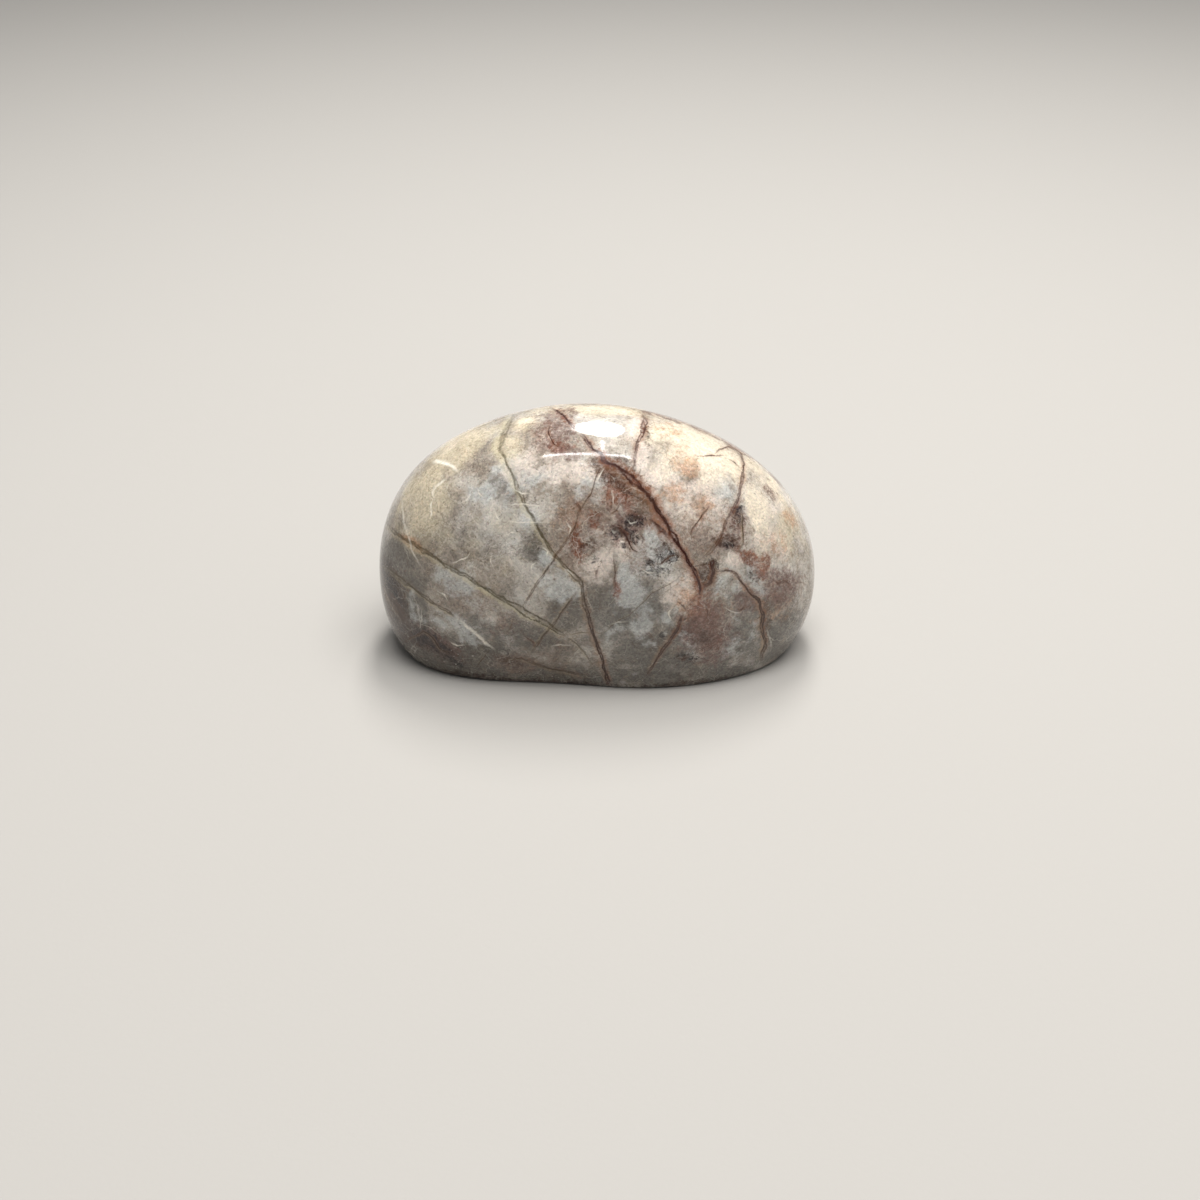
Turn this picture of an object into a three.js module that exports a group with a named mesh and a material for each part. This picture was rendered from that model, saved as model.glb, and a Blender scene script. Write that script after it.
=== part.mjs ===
// A polished freeform of veined quartz: one solid stone, rounded all over and ground flat underneath.
// Millimetres, +Z up, +X along the stone's length, -Y the face it is shown by.
// The origin is on the resting face, under the middle of the stone's outline.
import * as THREE from "three";

// How far the stone reaches from its core point in each direction.
const REACH = { left: 52, right: 57.5, front: 30, back: 30, up: 44.5, down: 38 };
const CORE_HEIGHT = 19.5; // the core point above the resting face
const LEAN = -0.01; // sideways shift for each millimetre of height
const EDGE_ROUNDING = 1.2; // height over which the wall turns into the resting face
const PLAN_SQUARENESS = 2.3; // 2 is an ellipse seen from above, more is squarer
const PROFILE_SQUARENESS = 2.15; // the same, seen from the front

// The lapidary's hand: low swells and hollows left by grinding. Azimuth is from +X towards +Y and
// elevation from the horizon, in degrees. Height is in millimetres and spread says how wide it is.
const SWELLS = [
  { azimuth: 0, elevation: 0, spread: 0.12, height: 0.8 }, // right end
  { azimuth: 16, elevation: 26, spread: 0.12, height: -0.6 }, // right shoulder
  { azimuth: 41, elevation: 49, spread: 0.12, height: -1.8 }, // slope behind the top, right
  { azimuth: 139, elevation: 49, spread: 0.12, height: -2.2 }, // slope behind the top, left
  { azimuth: 164, elevation: 26, spread: 0.12, height: 0.4 }, // left shoulder
  { azimuth: 180, elevation: 0, spread: 0.12, height: -0.2 }, // left end
  { azimuth: -16, elevation: -26, spread: 0.1, height: 0.6 }, // right heel
  { azimuth: -164, elevation: -26, spread: 0.1, height: 1.0 }, // left heel
  { azimuth: -90, elevation: -30, spread: 0.2, height: -1.8 }, // foot of the front face
  { azimuth: -125, elevation: -30, spread: 0.12, height: -2.0 }, // foot, front left
  { azimuth: -55, elevation: -30, spread: 0.12, height: 1.0 }, // foot, front right
  { azimuth: 112, elevation: 5, spread: 0.1, height: -1.4 }, // flat on the back, left
  { azimuth: 62, elevation: -8, spread: 0.08, height: 1.1 }, // swell on the back, right
];

// Facets: columns round the stone, and rows up its wall, over its rounded edge and across its foot.
const COLUMNS = 96;
const WALL_ROWS = 30;
const EDGE_ROWS = 4;
const FOOT_ROWS = 3;
const HALVINGS = 40; // steps of the search for a height on a column

const degrees = THREE.MathUtils.degToRad;

function directionOf(azimuth, elevation) {
  const level = Math.cos(elevation);
  return new THREE.Vector3(
    level * Math.cos(azimuth),
    level * Math.sin(azimuth),
    Math.sin(elevation),
  );
}

const swells = SWELLS.map((swell) => ({
  ...swell,
  direction: directionOf(degrees(swell.azimuth), degrees(swell.elevation)),
}));

// Reach along one axis, passing smoothly from its low side to its high side.
function reachAlong(low, high, component) {
  return (low + high) / 2 + ((high - low) / 2) * component;
}

// Distance from the core point to the surface in a direction.
function radiusAlong(direction) {
  const x = Math.abs(direction.x) / reachAlong(REACH.left, REACH.right, direction.x);
  const y = Math.abs(direction.y) / reachAlong(REACH.front, REACH.back, direction.y);
  const z = Math.abs(direction.z) / reachAlong(REACH.down, REACH.up, direction.z);
  const plan = Math.pow(x ** PLAN_SQUARENESS + y ** PLAN_SQUARENESS, 1 / PLAN_SQUARENESS);
  const round = Math.pow(plan ** PROFILE_SQUARENESS + z ** PROFILE_SQUARENESS, -1 / PROFILE_SQUARENESS);
  return swells.reduce(
    (sum, swell) =>
      sum + swell.height * Math.exp((direction.dot(swell.direction) - 1) / swell.spread),
    round,
  );
}

// The stone before its foot is ground flat, with heights measured from the resting face.
function roughPoint(azimuth, elevation) {
  const direction = directionOf(azimuth, elevation);
  const point = direction.multiplyScalar(radiusAlong(direction));
  point.x += LEAN * point.z;
  point.z += CORE_HEIGHT;
  return point;
}

// Grinding: what is below the resting face comes up to it, with a rounded edge.
function ground(point) {
  const near = Math.max(EDGE_ROUNDING - Math.abs(point.z), 0);
  point.z = Math.max(point.z, 0) + (near * near) / (4 * EDGE_ROUNDING);
  return point;
}

// The elevation at which a column passes a height.
function elevationAt(azimuth, height) {
  let low = degrees(-89);
  let high = degrees(60);
  for (let step = 0; step < HALVINGS; step++) {
    const middle = (low + high) / 2;
    if (roughPoint(azimuth, middle).z < height) low = middle;
    else high = middle;
  }
  return (low + high) / 2;
}

// One column of points, from the foot's rim over the rounded edge and up to just under the top.
function columnPoints(azimuth) {
  const rim = elevationAt(azimuth, -EDGE_ROUNDING);
  const wallFoot = elevationAt(azimuth, EDGE_ROUNDING);
  const top = degrees(90);
  const elevations = [];
  for (let row = 0; row < EDGE_ROWS; row++)
    elevations.push(rim + ((wallFoot - rim) * row) / EDGE_ROWS);
  for (let row = 0; row < WALL_ROWS; row++)
    elevations.push(wallFoot + ((top - wallFoot) * row) / WALL_ROWS);
  const points = elevations.map((elevation) => ground(roughPoint(azimuth, elevation)));
  points[0].z = 0;
  return points;
}

// Columns are closer together at the two ends, where the outline bends most.
function columnAzimuth(column) {
  const turn = (2 * Math.PI * column) / COLUMNS;
  const length = REACH.left + REACH.right;
  const depth = REACH.front + REACH.back;
  return Math.atan2(depth * Math.sin(turn), length * Math.cos(turn));
}

function stoneGeometry() {
  const columns = [];
  for (let column = 0; column < COLUMNS; column++) columns.push(columnPoints(columnAzimuth(column)));
  // The foot: each rim point drawn in towards the middle, on the resting face.
  const foot = columns.map(([rim]) =>
    Array.from({ length: FOOT_ROWS }, (_, row) =>
      new THREE.Vector3(rim.x, rim.y, 0).multiplyScalar((row + 1) / (FOOT_ROWS + 1)),
    ),
  );
  const rings = columns.map((wall, column) => [...foot[column], ...wall]);
  const rows = rings[0].length;
  const positions = rings.flat().flatMap((point) => point.toArray());
  const footCentre = positions.length / 3;
  positions.push(0, 0, 0);
  positions.push(...ground(roughPoint(0, degrees(90))).toArray());
  const summit = footCentre + 1;
  const faces = [];
  for (let column = 0; column < COLUMNS; column++) {
    const here = column * rows;
    const next = ((column + 1) % COLUMNS) * rows;
    faces.push(footCentre, next, here);
    for (let row = 0; row < rows - 1; row++) {
      faces.push(here + row, next + row, next + row + 1);
      faces.push(here + row, next + row + 1, here + row + 1);
    }
    faces.push(here + rows - 1, next + rows - 1, summit);
  }
  const geometry = new THREE.BufferGeometry();
  geometry.setAttribute("position", new THREE.Float32BufferAttribute(positions, 3));
  geometry.setIndex(faces);
  // The origin goes under the middle of the outline.
  geometry.computeBoundingBox();
  const middle = geometry.boundingBox.getCenter(new THREE.Vector3());
  geometry.translate(-middle.x, -middle.y, 0);
  geometry.computeVertexNormals();
  return geometry;
}

// Quartz polished to a high gloss, milky grey with rust and olive healed fractures.
const polishedQuartz = new THREE.MeshStandardMaterial({
  color: 0xb7aba0,
  roughness: 0.12,
  metalness: 0,
});

const stone = new THREE.Mesh(stoneGeometry(), polishedQuartz);
stone.name = "quartz_stone";

const specimen = new THREE.Group();
specimen.add(stone);

export default specimen;
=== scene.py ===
# A polished freeform of veined milky quartz, standing on its ground foot.
import math

import bpy
import numpy as np
from mathutils import Matrix, Vector
from mathutils.bvhtree import BVHTree


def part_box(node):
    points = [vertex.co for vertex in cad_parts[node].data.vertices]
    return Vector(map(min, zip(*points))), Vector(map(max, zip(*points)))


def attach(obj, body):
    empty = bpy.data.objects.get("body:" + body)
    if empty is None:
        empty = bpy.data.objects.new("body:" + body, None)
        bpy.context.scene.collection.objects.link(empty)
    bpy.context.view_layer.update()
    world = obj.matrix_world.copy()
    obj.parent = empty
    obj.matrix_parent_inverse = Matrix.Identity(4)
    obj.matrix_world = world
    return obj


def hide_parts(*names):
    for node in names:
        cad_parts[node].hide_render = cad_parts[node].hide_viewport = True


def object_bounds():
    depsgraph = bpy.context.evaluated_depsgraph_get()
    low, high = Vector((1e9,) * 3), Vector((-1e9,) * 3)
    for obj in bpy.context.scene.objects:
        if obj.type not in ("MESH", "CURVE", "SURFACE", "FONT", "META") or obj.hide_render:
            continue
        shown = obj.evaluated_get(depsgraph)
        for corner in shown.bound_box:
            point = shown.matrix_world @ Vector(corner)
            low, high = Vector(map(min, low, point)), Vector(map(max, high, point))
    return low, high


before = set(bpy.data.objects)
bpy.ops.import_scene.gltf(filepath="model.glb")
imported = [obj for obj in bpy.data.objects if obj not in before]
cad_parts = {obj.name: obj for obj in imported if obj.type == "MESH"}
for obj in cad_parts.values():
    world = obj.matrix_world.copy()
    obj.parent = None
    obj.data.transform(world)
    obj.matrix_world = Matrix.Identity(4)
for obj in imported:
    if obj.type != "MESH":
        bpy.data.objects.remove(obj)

cadLow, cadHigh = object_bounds()
mm = 0.001


def linearColour(code, alpha=1.0):
    # sRGB hex to the linear values that the shader takes
    parts = [int(code[i:i + 2], 16) / 255 for i in (1, 3, 5)]
    return [p / 12.92 if p <= 0.04045 else ((p + 0.055) / 1.055) ** 2.4 for p in parts] + [alpha]


# the kinds of node that are used most
maths, vectors, mapRange = "ShaderNodeMath", "ShaderNodeVectorMath", "ShaderNodeMapRange"
noise, mix = "ShaderNodeTexNoise", "ShaderNodeMixRGB"
smoothStep = {"interpolation_type": "SMOOTHSTEP"}


def addNode(tree, kind, settings=None, inputs=None, stops=None):
    # one node: its settings or only its operation, its inputs as values, sockets or nodes, and a ramp's stops
    node = tree.nodes.new(kind)
    if isinstance(settings, str):
        settings = {"operation": settings}
    for name, value in (settings or {}).items():
        setattr(node, name, value)
    for name, value in (inputs or {}).items():
        if isinstance(value, bpy.types.Node):
            value = value.outputs[0]
        if isinstance(value, bpy.types.NodeSocket):
            tree.links.new(value, node.inputs[name])
        else:
            node.inputs[name].default_value = value
    if stops:
        ramp = node.color_ramp.elements
        for place, code, alpha in stops:
            ramp.new(place).color = linearColour(code, alpha)
        ramp.remove(ramp[0])
        ramp.remove(ramp[-1])
    return node


def newTree(name, sockets):
    # an empty Geometry Nodes tree with named inputs
    tree = bpy.data.node_groups.new(name, "GeometryNodeTree")
    tree.interface.new_socket("Geometry", in_out="OUTPUT", socket_type="NodeSocketGeometry")
    for label, kind in sockets.items():
        tree.interface.new_socket(label, in_out="INPUT", socket_type="NodeSocket" + kind)
    return tree


def runTree(mesh, tree, values, name):
    # puts the tree on a mesh, sets its inputs by identifier and returns the result as a plain object
    carrier = bpy.data.objects.new(name + "Carrier", mesh)
    bpy.context.scene.collection.objects.link(carrier)
    modifier = carrier.modifiers.new("shape", "NODES")
    modifier.node_group = tree
    for item in tree.interface.items_tree:
        if item.in_out == "INPUT" and item.name in values:
            modifier[item.identifier] = values[item.name]
    ready = carrier.evaluated_get(bpy.context.evaluated_depsgraph_get())
    made = bpy.data.meshes.new_from_object(ready)
    carrier.modifiers.clear()
    bpy.data.objects.remove(carrier)
    result = bpy.data.objects.new(name, made)
    bpy.context.scene.collection.objects.link(result)
    return result


# The camera looks at the stone as it is shown: from the front and 30 degrees above
view = {
    "frame": 1200,  # pixels each way
    "pitch": 30.0,  # degrees below level
    "lens": 50.766,
    "sensor": 36.0,
    "place": (0.70, -377.97, 228.22),  # mm
    "stoneMiddle": (600, 545),  # pixels
}

pitch = math.radians(view["pitch"])
across = Vector((1, 0, 0))
along = Vector((0, math.cos(pitch), -math.sin(pitch)))
upward = across.cross(along)
eye = Vector(view["place"]) * mm

camera = bpy.data.objects.new("camera", bpy.data.cameras.new("camera"))
camera.data.lens = view["lens"]
camera.data.sensor_width = view["sensor"]
camera.data.clip_start = 0.01
camera.location = eye
camera.rotation_euler = (math.pi / 2 - pitch, 0, 0)
bpy.context.scene.collection.objects.link(camera)
bpy.context.scene.camera = camera
print("camera made")


# The stone's form: an egg-like body, squarer than an ellipse, with the low swells that grinding leaves
stoneForm = {
    "lowReach": (52, 30, 38),  # mm from the core point to the left, front and underside
    "highReach": (57.5, 30, 44.5),  # mm to the right, back and top
    "coreHeight": 19.5,
    "lean": -0.01,
    "edgeRounding": 1.2,
    "planSquareness": 2.3,
    "profileSquareness": 2.15,
    "cells": (180, 100, 106),  # points along, across and up the cube that is blown up into the stone
}

# azimuth from +X towards +Y, elevation, spread and height in mm
swells = {
    "rightEnd": (0, 0, 0.12, 0.8),
    "rightShoulder": (16, 26, 0.12, -0.6),
    "backSlopeRight": (41, 49, 0.12, -1.8),
    "backSlopeLeft": (139, 49, 0.12, -2.2),
    "leftShoulder": (164, 26, 0.12, 0.4),
    "leftEnd": (180, 0, 0.12, -0.2),
    "rightHeel": (-16, -26, 0.1, 0.6),
    "leftHeel": (-164, -26, 0.1, 1.0),
    "frontFoot": (-90, -30, 0.2, -1.8),
    "frontFootLeft": (-125, -30, 0.12, -2.0),
    "frontFootRight": (-55, -30, 0.12, 1.0),
    "backFlatLeft": (112, 5, 0.1, -1.4),
    "backSwellRight": (62, -8, 0.08, 1.1),
}


def formTree():
    tree = newTree("stoneForm", {
        "Cells Along": "Int", "Cells Across": "Int", "Cells Up": "Int",
        "Low Reach": "Vector", "High Reach": "Vector",
        "Core Height": "Float", "Lean": "Float", "Edge Rounding": "Float",
        "Plan Squareness": "Float", "Profile Squareness": "Float",
        "Box Low": "Vector", "Box High": "Vector",
    })
    given = addNode(tree, "NodeGroupInput").outputs
    cube = addNode(tree, "GeometryNodeMeshCube", None, {
        "Size": (2, 2, 2), "Vertices X": given["Cells Along"],
        "Vertices Y": given["Cells Across"], "Vertices Z": given["Cells Up"]})
    # directions, spaced evenly over a body of this length, depth and height
    at = addNode(tree, "GeometryNodeInputPosition")
    angle = addNode(tree, vectors, "SCALE", {0: at, "Scale": math.pi / 4})
    even = addNode(tree, vectors, "TANGENT", {0: angle})
    size = addNode(tree, vectors, "ADD", {0: given["Low Reach"], 1: given["High Reach"]})
    rounded = addNode(tree, vectors, "NORMALIZE", {0: even})
    stretched = addNode(tree, vectors, "MULTIPLY", {0: rounded, 1: size})
    heading = addNode(tree, vectors, "NORMALIZE", {0: stretched})
    # reach passes smoothly from the low side to the high side
    span = addNode(tree, vectors, "SUBTRACT", {0: given["High Reach"], 1: given["Low Reach"]})
    swing = addNode(tree, vectors, "MULTIPLY_ADD", {0: span, 1: heading, 2: size})
    reach = addNode(tree, vectors, "SCALE", {0: swing, "Scale": 0.5})
    share = addNode(tree, vectors, "DIVIDE", {0: heading, 1: reach})
    positive = addNode(tree, vectors, "ABSOLUTE", {0: share})
    x, y, z = addNode(tree, "ShaderNodeSeparateXYZ", None, {0: positive}).outputs
    planPower, profilePower = given["Plan Squareness"], given["Profile Squareness"]
    xPower = addNode(tree, maths, "POWER", {0: x, 1: planPower})
    yPower = addNode(tree, maths, "POWER", {0: y, 1: planPower})
    planSum = addNode(tree, maths, "ADD", {0: xPower, 1: yPower})
    bothPowers = addNode(tree, maths, "DIVIDE", {0: profilePower, 1: planPower})
    plan = addNode(tree, maths, "POWER", {0: planSum, 1: bothPowers})
    zPower = addNode(tree, maths, "POWER", {0: z, 1: profilePower})
    profileSum = addNode(tree, maths, "ADD", {0: plan, 1: zPower})
    inverse = addNode(tree, maths, "DIVIDE", {0: -1.0, 1: profilePower})
    radius = addNode(tree, maths, "POWER", {0: profileSum, 1: inverse})
    for azimuth, elevation, spread, height in swells.values():
        a, e = math.radians(azimuth), math.radians(elevation)
        towards = (math.cos(e) * math.cos(a), math.cos(e) * math.sin(a), math.sin(e))
        facing = addNode(tree, vectors, "DOT_PRODUCT", {0: heading, 1: towards}).outputs["Value"]
        away = addNode(tree, maths, "SUBTRACT", {0: facing, 1: 1.0})
        fall = addNode(tree, maths, "DIVIDE", {0: away, 1: spread})
        bell = addNode(tree, maths, "EXPONENT", {0: fall})
        radius = addNode(tree, maths, "MULTIPLY_ADD", {0: bell, 1: height * mm, 2: radius})
    rough = addNode(tree, vectors, "SCALE", {0: heading, "Scale": radius})
    roughX, roughY, roughZ = addNode(tree, "ShaderNodeSeparateXYZ", None, {0: rough}).outputs
    leaning = addNode(tree, maths, "MULTIPLY_ADD", {0: roughZ, 1: given["Lean"], 2: roughX})
    height = addNode(tree, maths, "ADD", {0: roughZ, 1: given["Core Height"]})
    # grinding: what is below the resting face comes up to it, with a rounded edge
    depth = addNode(tree, maths, "ABSOLUTE", {0: height})
    near = addNode(tree, maths, "SUBTRACT", {0: given["Edge Rounding"], 1: depth})
    near = addNode(tree, maths, "MAXIMUM", {0: near, 1: 0.0})
    near = addNode(tree, maths, "POWER", {0: near, 1: 2.0})
    four = addNode(tree, maths, "MULTIPLY", {0: given["Edge Rounding"], 1: 4.0})
    lift = addNode(tree, maths, "DIVIDE", {0: near, 1: four})
    above = addNode(tree, maths, "MAXIMUM", {0: height, 1: 0.0})
    ground = addNode(tree, maths, "ADD", {0: above, 1: lift})
    place = addNode(tree, "ShaderNodeCombineXYZ", None, {0: leaning, 1: roughY, 2: ground})
    body = addNode(tree, "GeometryNodeSetPosition", None, {"Geometry": cube, "Position": place})
    # the finished body fills the box of the solid that it stands for
    box = addNode(tree, "GeometryNodeBoundBox", None, {0: body}).outputs
    own = addNode(tree, vectors, "SUBTRACT", {0: box["Max"], 1: box["Min"]})
    wanted = addNode(tree, vectors, "SUBTRACT", {0: given["Box High"], 1: given["Box Low"]})
    factor = addNode(tree, vectors, "DIVIDE", {0: wanted, 1: own})
    fromLow = addNode(tree, vectors, "SUBTRACT", {0: at, 1: box["Min"]})
    fitted = addNode(tree, vectors, "MULTIPLY_ADD", {0: fromLow, 1: factor, 2: given["Box Low"]})
    body = addNode(tree, "GeometryNodeSetPosition", None, {"Geometry": body, "Position": fitted})
    smooth = addNode(tree, "GeometryNodeSetShadeSmooth", None, {0: body})
    realized = addNode(tree, "GeometryNodeRealizeInstances", None, {0: smooth})
    addNode(tree, "NodeGroupOutput", None, {0: realized})
    return tree


boxLow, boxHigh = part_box("quartz_stone")
bare = runTree(bpy.data.meshes.new("start"), formTree(), {
    "Cells Along": stoneForm["cells"][0],
    "Cells Across": stoneForm["cells"][1],
    "Cells Up": stoneForm["cells"][2],
    "Low Reach": Vector(stoneForm["lowReach"]) * mm, "High Reach": Vector(stoneForm["highReach"]) * mm,
    "Core Height": stoneForm["coreHeight"] * mm, "Lean": stoneForm["lean"],
    "Edge Rounding": stoneForm["edgeRounding"] * mm,
    "Plan Squareness": stoneForm["planSquareness"], "Profile Squareness": stoneForm["profileSquareness"],
    "Box Low": Vector(boxLow), "Box High": Vector(boxHigh),
}, "bareStone")
print("stone shaped:", len(bare.data.vertices), "points,", len(bare.data.polygons), "faces")


surface = BVHTree.FromPolygons([v.co for v in bare.data.vertices], [p.vertices for p in bare.data.polygons])


def onStone(pixel):
    # where the stone shows at a pixel; one just outside the outline is moved in to it in small steps
    u, v = pixel
    middleU, middleV = view["stoneMiddle"]
    steps, share = 40, 0.006
    middle = view["frame"] / 2
    pixelSize = view["sensor"] / view["lens"] / view["frame"]
    for step in range(steps):
        ray = along + across * (u - middle) * pixelSize + upward * (middle - v) * pixelSize
        spot = surface.ray_cast(eye, ray.normalized())[0]
        if spot:
            return spot
        u += (middleU - u) * share
        v += (middleV - v) * share
    raise ValueError(f"no stone at {pixel}")


# Small natural hollows that the polish didn't reach: pixel, radius mm and depth mm
hollows = [
    ((616, 533), 1.5, 0.6), ((623, 538), 1.0, 0.4), ((630, 524), 1.3, 0.55), ((637, 518), 1.0, 0.4),
    ((629, 543), 1.1, 0.4), ((537, 569), 1.0, 0.2), ((541, 574), 0.8, 0.2), ((534, 576), 0.8, 0.18),
    ((553, 553), 0.7, 0.18), ((427, 636), 1.1, 0.3), ((437, 645), 0.9, 0.25), ((706, 577), 0.9, 0.22),
]
points = np.empty(len(bare.data.vertices) * 3)
bare.data.vertices.foreach_get("co", points)
points = points.reshape(-1, 3)
for pixel, radius, depth in hollows:
    ray = np.array((onStone(pixel) - eye).normalized())
    away = np.linalg.norm(points - np.array(onStone(pixel)), axis=1) / (radius * mm)
    points += np.outer(depth * mm * np.exp(-away ** 2), ray)
bare.data.vertices.foreach_set("co", points.ravel())
bare.data.update()
print("hollows sunk:", len(hollows))


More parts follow.
